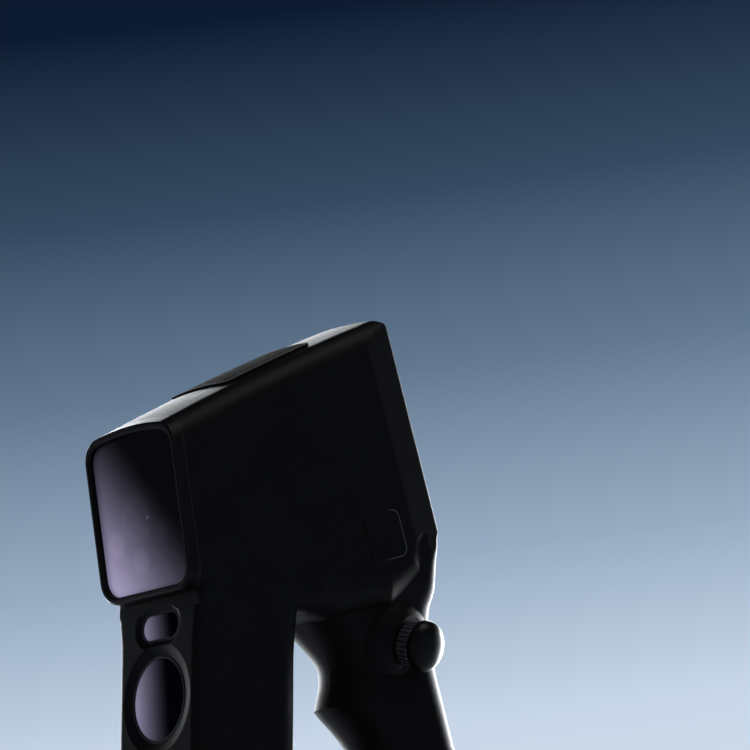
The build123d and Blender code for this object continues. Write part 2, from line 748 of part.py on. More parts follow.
with BuildPart() as port_door:
    with BuildSketch(port_plane(door_thickness)):
        add(door_outline(0))
    extrude(amount=door_thickness)
    with BuildSketch(hinge_plane(-door_height / 2)):
        Circle(hinge_radius)
    extrude(amount=door_height)
    with BuildSketch(hinge_plane(-door_height / 2)):
        Circle(hinge_pin + pin_gap)
    extrude(amount=door_height, mode=Mode.SUBTRACT)
port_door.part.label = "port_door"

with BuildPart() as port_hinge_pin:
    with BuildSketch(hinge_plane(-door_height / 2 - 2)):
        Circle(hinge_pin)
    extrude(amount=door_height + 4)
port_hinge_pin.part.label = "port_hinge_pin"

def sockets(width, height):
    with BuildSketch() as outline:
        with Locations((0, socket_rise), (0, -socket_rise)):
            RectangleRounded(width, height, height / 2 - 0.01)
    return outline.sketch

with BuildPart() as usb_sockets:
    with BuildSketch(port_plane(bay_depth + socket_length)):
        add(sockets(socket_width, socket_height))
    extrude(amount=socket_length + 0.6)
    with BuildSketch(port_plane(bay_depth - 0.6)):
        add(sockets(socket_width - 0.7, socket_height - 0.7))
        with Locations((0, socket_rise), (0, -socket_rise)):
            Rectangle(socket_width - 3, 0.8, mode=Mode.SUBTRACT)
    extrude(amount=-5, mode=Mode.SUBTRACT)
usb_sockets.part.label = "usb_sockets"

with BuildPart() as port_board:
    with BuildSketch(port_plane(bay_depth + socket_length)):
        RectangleRounded(20, 24, 1)
    extrude(amount=-board_thickness)
port_board.part.label = "port_board"

# ---- thumb control -------------------------------------------------------------------------------
with BuildPart() as control_collar:
    with BuildSketch(knob_plane(-collar_depth)):
        Circle(collar_radius)
    extrude(amount=collar_depth + soft_gap + ring_height - 0.2)
    with BuildSketch(knob_plane(-collar_depth)):
        Circle(collar_radius + 2)
    extrude(amount=-1.5)
    with BuildSketch(knob_plane(-collar_depth + 1.5)):
        Circle(collar_radius - collar_wall)
    extrude(amount=30, mode=Mode.SUBTRACT)
    with BuildSketch(knob_plane(-collar_depth - 2)):
        Circle(stem_radius + pin_gap)
    extrude(amount=6, mode=Mode.SUBTRACT)
control_collar.part.label = "control_collar"

with BuildPart() as control_ring:
    with BuildSketch(knob_plane(soft_gap)):
        Circle(ring_radius)
        with PolarLocations(ring_radius, ring_teeth):
            Circle(tooth_depth, mode=Mode.SUBTRACT)
        Circle(collar_radius + pin_gap, mode=Mode.SUBTRACT)
    extrude(amount=ring_height)
control_ring.part.label = "control_ring"

cap_foot = soft_gap + ring_height + cap_gap
with BuildPart() as control_cap:
    with BuildSketch(knob_plane(cap_foot)):
        Circle(cap_radius)
    extrude(amount=cap_edge)
    centre = Vector(knob_x, knob_y, knob_z) + knob_axis * (cap_foot + cap_edge)
    side = knob_plane(0).x_dir
    with BuildSketch(Plane(origin=centre, x_dir=side, z_dir=side.cross(knob_axis))):
        with BuildLine():
            Line((0, 0), (cap_radius, 0))
            ThreePointArc((cap_radius, 0), (cap_radius * 0.74, cap_crown * 0.68), (0, cap_crown))
            Line((0, cap_crown), (0, 0))
        make_face()
    revolve(axis=Axis(centre, knob_axis), revolution_arc=360)
    with BuildSketch(knob_plane(cap_foot)):
        Circle(stem_radius)
    extrude(amount=-(cap_foot + collar_depth + 2.5))
control_cap.part.label = "control_cap"

with BuildPart() as encoder:
    with BuildSketch(knob_plane(-collar_depth - 1.5)):
        RectangleRounded(13, 13, 1)
    extrude(amount=-7)
    with BuildSketch(knob_plane(-collar_depth - 1.5)):
        Circle(stem_radius + 0.2)
    extrude(amount=-3.2, mode=Mode.SUBTRACT)
encoder.part.label = "encoder"

# ---- battery -------------------------------------------------------------------------------------
def battery_plane(up):
    """Across the battery, up its lean from its middle; local y runs to the rear."""
    return Plane(origin=Vector(0, battery_y, battery_z) + screen_up * up, x_dir=(1, 0, 0), z_dir=screen_up)

with BuildPart() as battery_pack:
    with BuildSketch(battery_plane(-battery_length / 2)):
        RectangleRounded(battery_width, battery_depth, battery_width / 2 - 0.5)
    extrude(amount=battery_length)
battery_pack.part.label = "battery_pack"

# ---- base cover, feet ----------------------------------------------------------------------------
def base_plan(margin):
    wide, narrow = column_width / 2 - margin, base_rear_width / 2 - margin
    with BuildSketch() as plan:
        with BuildLine():
            Polyline((-wide, column_front + margin), (wide, column_front + margin), (wide, base_bend),
                     (narrow, base_rear - margin), (-narrow, base_rear - margin), (-wide, base_bend), close=True)
        make_face()
        fillet(plan.vertices().group_by(Axis.Y)[0], radius=4)
        fillet(plan.vertices().group_by(Axis.Y)[-1], radius=base_corner - margin)
    return plan.sketch

cover_screw_spots = [(-13, -24), (13, -24), (-9, 72), (9, 72)]
with BuildPart() as base_cover:
    with BuildSketch(Plane.XY.offset(foot_rise)):
        add(base_plan(cover_margin + seat_gap))
        with Locations(*cover_screw_spots):
            Circle(screw_radius + 0.15, mode=Mode.SUBTRACT)
    extrude(amount=cover_thickness)
    with BuildSketch(Plane.XY.offset(foot_rise)):
        add(base_plan(cover_margin + foot_margin - seat_gap))
    extrude(amount=foot_thickness - foot_rise, mode=Mode.SUBTRACT)
base_cover.part.label = "base_cover"

with BuildPart() as rubber_foot:
    with BuildSketch(Plane.XY):
        add(base_plan(cover_margin + foot_margin))
        with Locations(*cover_screw_spots):
            Circle(screw_head + 2 * soft_gap, mode=Mode.SUBTRACT)
    extrude(amount=foot_thickness)
    outside = rubber_foot.faces().sort_by(Axis.Z)[0].outer_wire().edges()
    chamfer(outside, length=0.6)
rubber_foot.part.label = "rubber_foot"

with BuildPart() as cover_screws:
    with BuildSketch(Plane.XY.offset(foot_thickness)):
        with Locations(*cover_screw_spots):
            Circle(screw_head)
    extrude(amount=-0.8)
    with BuildSketch(Plane.XY.offset(foot_thickness)):
        with Locations(*cover_screw_spots):
            Circle(screw_radius)
    extrude(amount=8)
cover_screws.part.label = "cover_screws"

# ---- housing halves ------------------------------------------------------------------------------
# housing screws run across the halves: y, z and the half width of the outside there
screw_spots = [(-8, 34, 29), (-14, 134, 31), (36, 135, 31), (38, 236, 33), (-38, 195, 33), (54, 91, 16),
               (40, 11.5, 27), (116, 11.5, 20)]
head_sink = 5.0             # how deep the heads' seats lie

def side_discs(reach, radius):
    """One disc for each housing screw on a plane across X."""
    with BuildSketch(Plane.YZ.offset(reach)) as discs:
        with Locations(*[(y, z) for y, z, half in screw_spots]):
            Circle(radius)
    return discs.sketch

with BuildPart() as bosses:
    for y, z, half in screw_spots:
        with BuildSketch(Plane.YZ.offset(-half)):
            with Locations((y, z)):
                Circle(boss_radius + 1)
        extrude(amount=half)
        with BuildSketch(Plane.YZ):
            with Locations((y, z)):
                Circle(boss_radius)
        extrude(amount=half)
    # seat and duct of the vent
    with BuildSketch(top_plane(fan_top)):
        RectangleRounded(vent_width + 6, vent_length + 6, vent_corner + 2)
    extrude(amount=vent_seat + 2)
    # rails under the board
    with BuildSketch(top_plane(sink_foot - board_thickness - 3)):
        with Locations((board_width / 2 + 1.5, 0), (-board_width / 2 - 1.5, 0)):
            Rectangle(7, board_length - 12)
    extrude(amount=3)
    # flange behind the optics plate
    with BuildSketch(face_plane(plate_depth + plate_thickness + flange_thickness)):
        add(window_outline(wall - 0.6))
        add(window_outline(wall + flange_width), mode=Mode.SUBTRACT)
    extrude(amount=flange_thickness)
    # ring seats of the column's windows
    with BuildSketch(front_plane(camera_seat + 2, camera_z)):
        Circle(camera_radius + 3)
    extrude(amount=camera_seat + 1)
    with BuildSketch(front_plane(sensor_seat + 2, sensor_z)):
        RectangleRounded(sensor_width + 4, sensor_height + 4, 6)
    extrude(amount=sensor_seat + 1)
    # bay of the port door
    with BuildSketch(port_plane(bay_depth + 2)):
        with Locations((-0.4, 0)):
            Rectangle(door_width + 6, door_height + 6)
    extrude(amount=bay_depth + 2)
    # boss of the thumb control
    with BuildSketch(knob_plane(-collar_depth)):
        Circle(collar_radius + 3)
    extrude(amount=collar_depth)
    # ribs that hold the battery, and the stop under it
    for up in (-battery_length / 2 - 2.3, -battery_length / 4, battery_length / 4):
        with BuildSketch(battery_plane(up)):
            with Locations((0, -1)):
                Rectangle(2 * wall + battery_width + 8, battery_depth + 12)
        extrude(amount=2)
    # ledge round the cover and posts for its screws
    with BuildSketch(Plane.XY.offset(foot_rise + cover_thickness)):
        add(base_plan(cover_margin - 4))
        add(base_plan(cover_margin + 2.5), mode=Mode.SUBTRACT)
        with Locations(*[(x * 1.5, y) for x, y in cover_screw_spots]):
            RectangleRounded(19, 8, 3)
    extrude(amount=2.5)
    with BuildSketch(Plane.XY.offset(foot_rise + cover_thickness)):
        with Locations(*cover_screw_spots):
            Circle(boss_radius)
    extrude(amount=8.5)
    add(envelope.part, mode=Mode.INTERSECT)

with BuildPart() as cuts:
    # window frame and screen frame take the two ends of the head
    with BuildSketch(face_plane(frame_depth)):
        Rectangle(head_width + 10, face_height + 14)
    extrude(amount=40)
    add(screen_block)
    # column front: dished surrounds, ring pockets, sight holes
    with BuildSketch(front_plane(scoop_depth, camera_z)):
        Circle(camera_radius)
    with BuildSketch(front_plane(-0.5, camera_z)):
        Circle(scoop_radius + 2)
    loft()
    with BuildSketch(front_plane(camera_seat, camera_z)):
        Circle(camera_radius + pin_gap)
    extrude(amount=20)
    with BuildSketch(front_plane(camera_seat + 3, camera_z)):
        Circle(camera_radius - ring_width - 1.5)
    extrude(amount=10)
    with BuildSketch(front_plane(sensor_depth, sensor_z)):
        RectangleRounded(sensor_width, sensor_height, sensor_height / 2 - 0.01)
    with BuildSketch(front_plane(-0.5, sensor_z)):
        RectangleRounded(sensor_width + 2 * sensor_scoop, sensor_height + 2 * sensor_scoop,
                         sensor_height / 2 + sensor_scoop - 0.01)
    loft()
    with BuildSketch(front_plane(sensor_seat, sensor_z)):
        add(pill(sensor_width + 2 * pin_gap, sensor_height + 2 * pin_gap))
    extrude(amount=12)
    with BuildSketch(front_plane(sensor_seat + 3, sensor_z)):
        add(pill(sensor_width - 2 * sensor_rim - 2.4, sensor_height - 2 * sensor_rim - 2.4))
    extrude(amount=6)
    # vent pocket, duct and fan screw holes
    with BuildSketch(top_plane(-vent_drop)):
        RectangleRounded(vent_width, vent_length, vent_corner)
    extrude(amount=12)
    with BuildSketch(top_plane(fan_top - 1)):
        RectangleRounded(vent_width - 2 * vent_ledge - 1, fan_size - 4, 8)
    extrude(amount=vent_seat + 3)
    with BuildSketch(top_plane(fan_top - 1)):
        with GridLocations(fan_corner, fan_corner, 2, 2):
            Circle(screw_radius + pin_gap)
    extrude(amount=vent_seat + 0.8)
    # port bay: door recess, hinge trough and pin holes, bay, socket holes
    with BuildSketch(port_plane(door_thickness + soft_gap)):
        add(door_outline(soft_gap))
    extrude(amount=10)
    trough = port_plane(2 * hinge_radius + soft_gap)
    with BuildSketch(trough):
        with Locations((hinge_x, 0)):
            Rectangle(2 * (hinge_radius + soft_gap), door_height + 2 * soft_gap)
    extrude(amount=10)
    with BuildSketch(hinge_plane(-door_height / 2 - 2.1)):
        Circle(hinge_pin + pin_gap)
    extrude(amount=door_height + 4.2)
    with BuildSketch(port_plane(bay_depth)):
        with Locations((1.2, 0)):
            RectangleRounded(door_width - 6, door_height - 4, 3)
    extrude(amount=bay_depth)
    with BuildSketch(port_plane(bay_depth + 3)):
        add(sockets(socket_width + 2 * pin_gap, socket_height + 2 * pin_gap))
    extrude(amount=4)
    # bore of the thumb control and room for its ring
    with BuildSketch(knob_plane(0)):
        Circle(ring_radius + 2 * soft_gap)
    extrude(amount=20)
    with BuildSketch(knob_plane(-collar_depth - 6)):
        Circle(collar_radius + pin_gap)
    extrude(amount=collar_depth + 30)
    # battery bay through the ribs, smaller through the stop
    with BuildSketch(battery_plane(-battery_length / 2 - soft_gap)):
        RectangleRounded(battery_width + 2 * soft_gap, battery_depth + 2 * soft_gap, battery_width / 2 - 0.2)
    extrude(amount=battery_length + 2 * soft_gap)
    with BuildSketch(battery_plane(-battery_length / 2 - 4)):
        RectangleRounded(battery_width - 8, battery_depth - 12, 5)
    extrude(amount=6)
    # opening of the base cover and its screw holes
    with BuildSketch(Plane.XY.offset(foot_rise - 1)):
        add(base_plan(cover_margin))
    extrude(amount=cover_thickness + 1)
    with BuildSketch(Plane.XY.offset(foot_rise + cover_thickness - 1)):
        with Locations(*cover_screw_spots):
            Circle(screw_radius + pin_gap)
    extrude(amount=8)
    # housing screws: seats, clearance and pilot holes
    for y, z, half in screw_spots:
        with BuildSketch(Plane.YZ.offset(-half + head_sink)):
            with Locations((y, z)):
                Circle(screw_head + soft_gap)
        extrude(amount=-head_sink - 6)
    extrude(side_discs(-30, screw_radius + 0.2), amount=30)
    extrude(side_discs(-1, screw_radius + pin_gap), amount=12)

with BuildPart() as housing:
    add(envelope.part)
    add(cavity.part, mode=Mode.SUBTRACT)
    add(bosses.part)
    add(cuts.part, mode=Mode.SUBTRACT)

with BuildPart() as left_housing:
    add(housing.part)
    split(bisect_by=Plane.YZ, keep=Keep.TOP)
left_housing.part.label = "left_housing"

with BuildPart() as right_housing:
    add(housing.part)
    split(bisect_by=Plane.YZ, keep=Keep.BOTTOM)
right_housing.part.label = "right_housing"

with BuildPart() as housing_screws:
    for y, z, half in screw_spots:
        with BuildSketch(Plane.YZ.offset(-half + head_sink)):
            with Locations((y, z)):
                Circle(screw_head)
        extrude(amount=-2.2)
        with BuildSketch(Plane.YZ.offset(-half + head_sink)):
            with Locations((y, z)):
                Circle(screw_radius)
        extrude(amount=half - head_sink + 10)
housing_screws.part.label = "housing_screws"

# ---- write ---------------------------------------------------------------------------------------
for node in [left_housing, right_housing, window_frame, front_window, optics_plate, projector_barrel, projector_lens,
             camera_barrels, camera_lenses, camera_ring, camera_window, camera_module, camera_lens, sensor_ring,
             sensor_window, sensor_module, vent_grille, fan_frame, fan_rotor, fan_screws, heat_sink, main_board,
             display_frame, touch_glass, display_panel, power_button, power_switch, port_door, port_hinge_pin,
             usb_sockets, port_board, control_collar, control_ring, control_cap, encoder, battery_pack,
             base_cover, rubber_foot, cover_screws, housing_screws]:
    export_step(node.part, "parts/" + node.part.label + ".step")
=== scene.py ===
from math import cos, sin, pi, radians
import bmesh
import bpy
from mathutils import Matrix, Vector


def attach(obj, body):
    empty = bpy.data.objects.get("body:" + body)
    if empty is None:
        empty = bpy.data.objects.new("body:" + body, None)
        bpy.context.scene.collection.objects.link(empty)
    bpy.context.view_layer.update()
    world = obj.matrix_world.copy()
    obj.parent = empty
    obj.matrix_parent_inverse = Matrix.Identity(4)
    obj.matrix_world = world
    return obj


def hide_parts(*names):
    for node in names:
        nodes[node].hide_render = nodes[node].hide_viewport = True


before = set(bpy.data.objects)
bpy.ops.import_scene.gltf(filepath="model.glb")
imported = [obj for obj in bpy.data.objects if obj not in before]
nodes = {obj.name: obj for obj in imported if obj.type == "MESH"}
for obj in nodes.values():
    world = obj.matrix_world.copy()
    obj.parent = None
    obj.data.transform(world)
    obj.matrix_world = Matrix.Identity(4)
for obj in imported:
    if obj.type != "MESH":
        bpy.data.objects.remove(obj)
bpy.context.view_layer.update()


# ---- shader maths -----------------------------------------------------------------------------
class Wire:
    """A shader socket that can be used in Python expressions."""

    def __init__(self, finish, socket):
        self.finish, self.socket = finish, socket

    def _math(self, operation, *values):
        return self.finish.node("ShaderNodeMath", {"operation": operation}, dict(enumerate(values)))

    def __add__(self, other): return self._math("ADD", self, other)
    def __radd__(self, other): return self._math("ADD", other, self)
    def __sub__(self, other): return self._math("SUBTRACT", self, other)
    def __rsub__(self, other): return self._math("SUBTRACT", other, self)
    def __mul__(self, other): return self._math("MULTIPLY", self, other)
    def __rmul__(self, other): return self._math("MULTIPLY", other, self)
    def __pow__(self, other): return self._math("POWER", self, other)
    def __abs__(self): return self._math("ABSOLUTE", self)

    def at_most(self, other): return self._math("MINIMUM", self, other)
    def at_least(self, other): return self._math("MAXIMUM", self, other)

    def between(self, low, high):
        """0 below low, 1 above high, smooth between."""
        return self.finish.node("ShaderNodeMapRange", {"interpolation_type": "SMOOTHSTEP"},
                                {"Value": self, "From Min": low, "From Max": high})


class Finish:
    """The nodes of one material, or of the world."""

    socket_names = {"color": "Base Color", "roughness": "Roughness", "metallic": "Metallic",
                    "normal": "Normal", "coat": "Coat Weight", "coat_roughness": "Coat Roughness",
                    "specular": "Specular IOR Level", "tint": "Specular Tint"}

    def __init__(self, name="", owner=None):
        """A new material of this name, or the nodes of its owner, a world."""
        self.owner = owner or bpy.data.materials.new(name)
        self.owner.use_nodes = True
        self.tree = self.owner.node_tree
        self.shader = self.tree.nodes.get("Principled BSDF")

    def put(self, socket, value):
        """Link a wire to a socket, or set a number, vector or colour on it."""
        if isinstance(value, Wire):
            self.tree.links.new(value.socket, socket)
        elif socket.type == "RGBA" and len(value) == 3:
            socket.default_value = (*value, 1.0)
        else:
            socket.default_value = value

    def node(self, kind, settings=None, sockets=None, out=0):
        """Any node: its settings come first, then the values or wires of its sockets."""
        made = self.tree.nodes.new(kind)
        for name, value in (settings or {}).items():
            if name == "stops":
                self.set_stops(made.color_ramp, value)
            else:
                setattr(made, name, value)
        for name, value in (sockets or {}).items():
            self.put(made.inputs[name], value)
        return Wire(self, made.outputs[out])

    def set_stops(self, ramp, stops):
        """Give a ramp its stops, each a place and a colour."""
        while len(ramp.elements) < len(stops):
            ramp.elements.new(0.5)
        for element, (place, shade) in zip(ramp.elements, stops):
            element.position, element.color = place, (*shade, 1.0)

    def place(self):
        """Position on the object, in metres."""
        return self.node("ShaderNodeTexCoord", out="Object")

    def along(self, vector, axis):
        """One of the three numbers of a vector, by its place: 0, 1 or 2."""
        return self.node("ShaderNodeSeparateXYZ", {}, {0: vector}, out=axis)

    def compare(self, operation, one, two):
        """The number that DOT_PRODUCT or DISTANCE makes of two vectors."""
        return self.node("ShaderNodeVectorMath", {"operation": operation}, {0: one, 1: two}, out="Value")

    def grain(self, scale, detail=2.0, roughness=0.5, place=None):
        """Noise from 0 to 1, with about scale lumps to the metre."""
        return self.node("ShaderNodeTexNoise", {}, {"Vector": place or self.place(), "Scale": scale,
                                                    "Detail": detail, "Roughness": roughness}, out="Fac")

    def mix(self, amount, low, high):
        """Colour between low and high."""
        return self.node("ShaderNodeMix", {"data_type": "RGBA"}, {0: amount, 6: low, 7: high}, out=2)

    def bump(self, height, strength, distance):
        """Normal of a surface raised by height; distance is how far a height of 1 stands up, in metres."""
        return self.node("ShaderNodeBump", {},
                         {"Strength": strength, "Distance": distance, "Height": height})

    def worn(self, width=0.0006):
        """1 along sharp edges, 0 on faces and soft roundings."""
        softened = self.node("ShaderNodeBevel", {"samples": 6}, {"Radius": width})
        agree = self.compare("DOT_PRODUCT", softened, self.node("ShaderNodeNewGeometry", out="Normal"))
        return (1 - agree).between(0.01, 0.14)

    def set(self, **values):
        """Set the shader's own sockets and return the material."""
        for name, value in values.items():
            self.put(self.shader.inputs[self.socket_names[name]], value)
        return self.owner


# ---- finishes ---------------------------------------------------------------------------------
def moulded_shell(name="moulded_shell", painted_highlight_span=None):
    """Near-black soft matt plastic with a fine spark texture, slightly polished edges and a parting line
    at x = 0. Edges within an optional stretch of y get a painted highlight."""
    f = Finish(name)
    spark = f.grain(scale=5200, detail=3.0, roughness=0.6)
    cloud = f.grain(scale=38, detail=4.0, roughness=0.55)
    edge = f.worn()
    line_core, line_edge = 0.00008, 0.00022
    parting = 1 - abs(f.along(f.place(), 0)).between(line_core, line_edge)
    shade = f.mix(cloud, low=(0.0019, 0.0020, 0.0023), high=(0.0031, 0.0033, 0.0038))
    shade = f.mix(edge * 0.6, low=shade, high=(0.016, 0.017, 0.020))
    shade = f.mix(parting, low=shade, high=(0.0008, 0.0008, 0.001))
    # Painted highlight on the edges within that stretch of y, standing in for a lit edge.
    if painted_highlight_span:
        painted_highlight = f.along(f.place(), 1).between(*painted_highlight_span)
        shade = f.mix(edge * painted_highlight, low=shade, high=(0.13, 0.135, 0.15))
    return f.set(color=shade, specular=0.07,
                 roughness=0.43 + spark * 0.10 + cloud * 0.06 - edge * 0.08,
                 normal=f.bump(spark - parting * 3.0, strength=0.16, distance=0.00006))


def satin_frame():
    """Frame round the window: satin black, polished along its bevel."""
    f = Finish("satin_frame")
    spark = f.grain(scale=5200, detail=3.0, roughness=0.6)
    cloud = f.grain(scale=55, detail=3.0)
    edge = f.worn()
    return f.set(color=f.mix(edge, low=(0.0024, 0.0025, 0.0030), high=(0.020, 0.021, 0.025)),
                 roughness=0.42 + cloud * 0.08 - edge * 0.08, specular=0.08,
                 normal=f.bump(spark, strength=0.08, distance=0.00004))


def coated_glass(name, middle, painted_at_low_corner, lean, rise, lenses=()):
    """Dark cover glass with a violet specular tint, and a reflection of the backdrop painted into its
    colour:
    lilac at the low -X corner, fading to black away from it. middle is x and z of the glass; the strength
    of the painted reflection at that corner follows, then lean and rise, how fast it fades along x and z.
    lenses are the places, radii and strengths of painted lighter discs where the optics behind would show."""
    f = Finish(name)
    smear = f.grain(scale=26, detail=5.0, roughness=0.6)
    place = f.place()
    # Painted reflection of the backdrop: strongest at the low -X corner, fading towards +X and upwards.
    painted_reflection_level = painted_at_low_corner - (f.along(place, 0) - middle[0]) * lean - (f.along(place, 2) - middle[1]) * rise
    # Painted lighter discs, with painted rings round them, where the optics behind the glass would show;
    # the smallest is a painted glint.
    for spot, radius, strength in lenses:
        away = f.compare("DISTANCE", place, spot)
        disc = 1 - away.between(radius * 0.80, radius * 1.05)
        rim = 1 - abs(away - radius * 1.08).between(0.0001, 0.0007)
        painted_reflection_level = painted_reflection_level + disc * strength + rim * strength * 0.45
    # Colour of the painted reflection, a little uneven.
    painted_reflection = (painted_reflection_level.at_least(0.0) ** 2.2).at_most(1.0) * (0.90 + smear * 0.20)
    return f.set(color=f.mix(painted_reflection, low=(0.0008, 0.0007, 0.0012), high=(0.82, 0.70, 1.0)),
                 roughness=0.05 + smear * 0.05, specular=0.06, tint=(0.80, 0.70, 1.0))


def coated_lens():
    """Lens glass with a plum coloured coat, a little uneven."""
    f = Finish("coated_lens")
    smear = f.grain(scale=60, detail=3.0)
    return f.set(color=f.mix(smear, low=(0.10, 0.085, 0.150), high=(0.17, 0.145, 0.240)),
                 roughness=0.12 + smear * 0.06, specular=0.4, tint=(0.72, 0.60, 1.0),
                 coat=0.3, coat_roughness=0.05)


def black_anodised():
    """Aluminium barrels and modules: satin black, brighter along the edges."""
    f = Finish("black_anodised")
    spark = f.grain(scale=4200)
    edge = f.worn()
    return f.set(color=f.mix(edge, low=(0.016, 0.016, 0.019), high=(0.09, 0.09, 0.10)), metallic=0.55,
                 roughness=0.34 + spark * 0.12, normal=f.bump(spark, strength=0.10, distance=0.00004))


def inner_plastic():
    """Dull black plastic of the plate that holds the optics."""
    f = Finish("inner_plastic")
    spark = f.grain(scale=3000)
    cloud = f.grain(scale=45, detail=3.0)
    return f.set(color=f.mix(cloud, low=(0.014, 0.014, 0.017), high=(0.024, 0.024, 0.028)),
                 roughness=0.55 + spark * 0.12, normal=f.bump(spark, strength=0.12, distance=0.00005))


def bright_ring():
    """Dark metal ring with a turned, bright edge."""
    f = Finish("bright_ring")
    turn = f.grain(scale=900)
    edge = f.worn()
    return f.set(color=f.mix(edge, low=(0.010, 0.010, 0.013), high=(0.040, 0.042, 0.052)), metallic=0.5,
                 roughness=0.30 + turn * 0.10 - edge * 0.06)


def grille_plastic():
    """Flat black plastic of the vent and of the base cover."""
    f = Finish("grille_plastic")
    spark = f.grain(scale=4200, detail=3.0, roughness=0.6)
    edge = f.worn()
    return f.set(color=f.mix(edge, low=(0.0022, 0.0023, 0.0027), high=(0.007, 0.0075, 0.009)),
                 roughness=0.74 + spark * 0.14, specular=0.04,
                 normal=f.bump(spark, strength=0.14, distance=0.00005))


def fan_plastic():
    """Black plastic of the fan, with a little pale dust."""
    f = Finish("fan_plastic")
    dust = f.grain(scale=90, detail=5.0, roughness=0.65)
    return f.set(color=f.mix(dust ** 3.0, low=(0.014, 0.014, 0.016), high=(0.045, 0.043, 0.040)),
                 roughness=0.36 + dust * 0.18)


def extruded_fins():
    """Bare aluminium with the long draw marks of an extrusion."""
    f = Finish("extruded_fins")
    stretched = f.node("ShaderNodeMapping", {}, {"Vector": f.place(), "Scale": (8.0, 0.4, 0.4)})
    draw = f.grain(scale=700, place=stretched)
    return f.set(color=f.mix(draw, low=(0.46, 0.47, 0.49), high=(0.60, 0.61, 0.63)), metallic=1.0,
                 roughness=0.28 + draw * 0.16)


def circuit_board():
    """Green board with a net of paler tracks under its lacquer."""
    f = Finish("circuit_board")
    tracks = f.node("ShaderNodeTexVoronoi", {"feature": "DISTANCE_TO_EDGE"},
                    {"Vector": f.place(), "Scale": 420.0})
    line = 1 - tracks.between(0.02, 0.09)
    return f.set(color=f.mix(line, low=(0.006, 0.050, 0.026), high=(0.020, 0.110, 0.055)),
                 roughness=0.34 + line * 0.1, normal=f.bump(line, strength=0.3, distance=0.00004),
                 coat=0.3, coat_roughness=0.2)


def screen_glass():
    """Black cover glass of the touch screen, faintly smudged."""
    f = Finish("screen_glass")
    smear = f.grain(scale=32, detail=6.0, roughness=0.62)
    fine = f.grain(scale=160, detail=3.0)
    return f.set(color=f.mix(smear, low=(0.004, 0.0045, 0.006), high=(0.008, 0.009, 0.012)),
                 roughness=0.05 + (smear ** 2.0) * 0.14 + fine * 0.02, coat=0.6, coat_roughness=0.04)


def display_black():
    """Face of the display, switched off."""
    f = Finish("display_black")
    cells = f.grain(scale=600)
    return f.set(color=f.mix(cells, low=(0.008, 0.009, 0.014), high=(0.014, 0.016, 0.024)),
                 roughness=0.20 + cells * 0.05)


def key_plastic():
    """Power key: dark grey plastic, paler where its edges are worn."""
    f = Finish("key_plastic")
    spark = f.grain(scale=4600)
    edge = f.worn()
    return f.set(color=f.mix(edge, low=(0.030, 0.031, 0.036), high=(0.085, 0.088, 0.098)),
                 roughness=0.38 + spark * 0.12, normal=f.bump(spark, strength=0.12, distance=0.00004))


def plain_steel():
    """Bare steel, finely brushed."""
    f = Finish("plain_steel")
    brush = f.grain(scale=1400, detail=3.0)
    return f.set(color=f.mix(brush, low=(0.44, 0.44, 0.45), high=(0.62, 0.62, 0.63)), metallic=1.0,
                 roughness=0.24 + brush * 0.18)


def blackened_steel():
    """Screws and pins: black oxide, worn brighter on their edges."""
    f = Finish("blackened_steel")
    rub = f.grain(scale=2400, detail=3.0)
    edge = f.worn(width=0.0002)
    return f.set(color=f.mix(edge, low=(0.020, 0.020, 0.023), high=(0.10, 0.10, 0.11)), metallic=0.8,
                 roughness=0.34 + rub * 0.16)


def printed_grey():
    """Pale ink of the sign on the power key."""
    f = Finish("printed_grey")
    ink = f.grain(scale=3000)
    return f.set(color=f.mix(ink, low=(0.34, 0.35, 0.37), high=(0.44, 0.45, 0.47)),
                 roughness=0.5 + ink * 0.1)


def dial_cap():
    """Cap of the thumb control: smooth black, a touch shinier than the shell."""
    f = Finish("dial_cap")
    spark = f.grain(scale=5200)
    cloud = f.grain(scale=80, detail=3.0)
    return f.set(color=f.mix(cloud, low=(0.0022, 0.0023, 0.0027), high=(0.0034, 0.0036, 0.0042)),
                 roughness=0.30 + cloud * 0.08, specular=0.09,
                 normal=f.bump(spark, strength=0.06, distance=0.00003))


def knurled_ring():
    """Ring round the thumb control: dark metal, bright on its edges."""
    f = Finish("knurled_ring")
    spark = f.grain(scale=3600)
    edge = f.worn()
    return f.set(color=f.mix(edge, low=(0.030, 0.031, 0.036), high=(0.19, 0.195, 0.21)), metallic=0.6,
                 roughness=0.36 + spark * 0.10 - edge * 0.08,
                 normal=f.bump(spark, strength=0.10, distance=0.00004))


def shrink_wrap():
    """Blue sleeve of the battery pack, creased where it shrank."""
    f = Finish("shrink_wrap")
    crease = f.grain(scale=70, detail=5.0, roughness=0.6)
    return f.set(color=f.mix(crease, low=(0.012, 0.030, 0.085), high=(0.025, 0.050, 0.130)),
                 roughness=0.28 + crease * 0.2, normal=f.bump(crease, strength=0.4, distance=0.0006))


def black_rubber():
    """Dull rubber of the foot, with fine pores."""
    f = Finish("black_rubber")
    pores = f.grain(scale=1600, detail=4.0, roughness=0.6)
    return f.set(color=f.mix(pores, low=(0.010, 0.010, 0.011), high=(0.018, 0.018, 0.019)),
                 roughness=0.72 + pores * 0.14, normal=f.bump(pores, strength=0.35, distance=0.00012))


# Painted lighter discs where the optics behind the window would show, the last a small painted glint on the
# projector lens: place, radius and strength.
painted_optics_spots = (((-0.0035, -0.0587, 0.1565), 0.0120, 0.026), ((-0.0205, -0.0570, 0.1475), 0.0058, 0.045),
              ((-0.0040, -0.0553, 0.1380), 0.0058, 0.042), ((0.0138, -0.0574, 0.1491), 0.0050, 0.018),
              ((0.0044, -0.0587, 0.1560), 0.0008, 0.200))
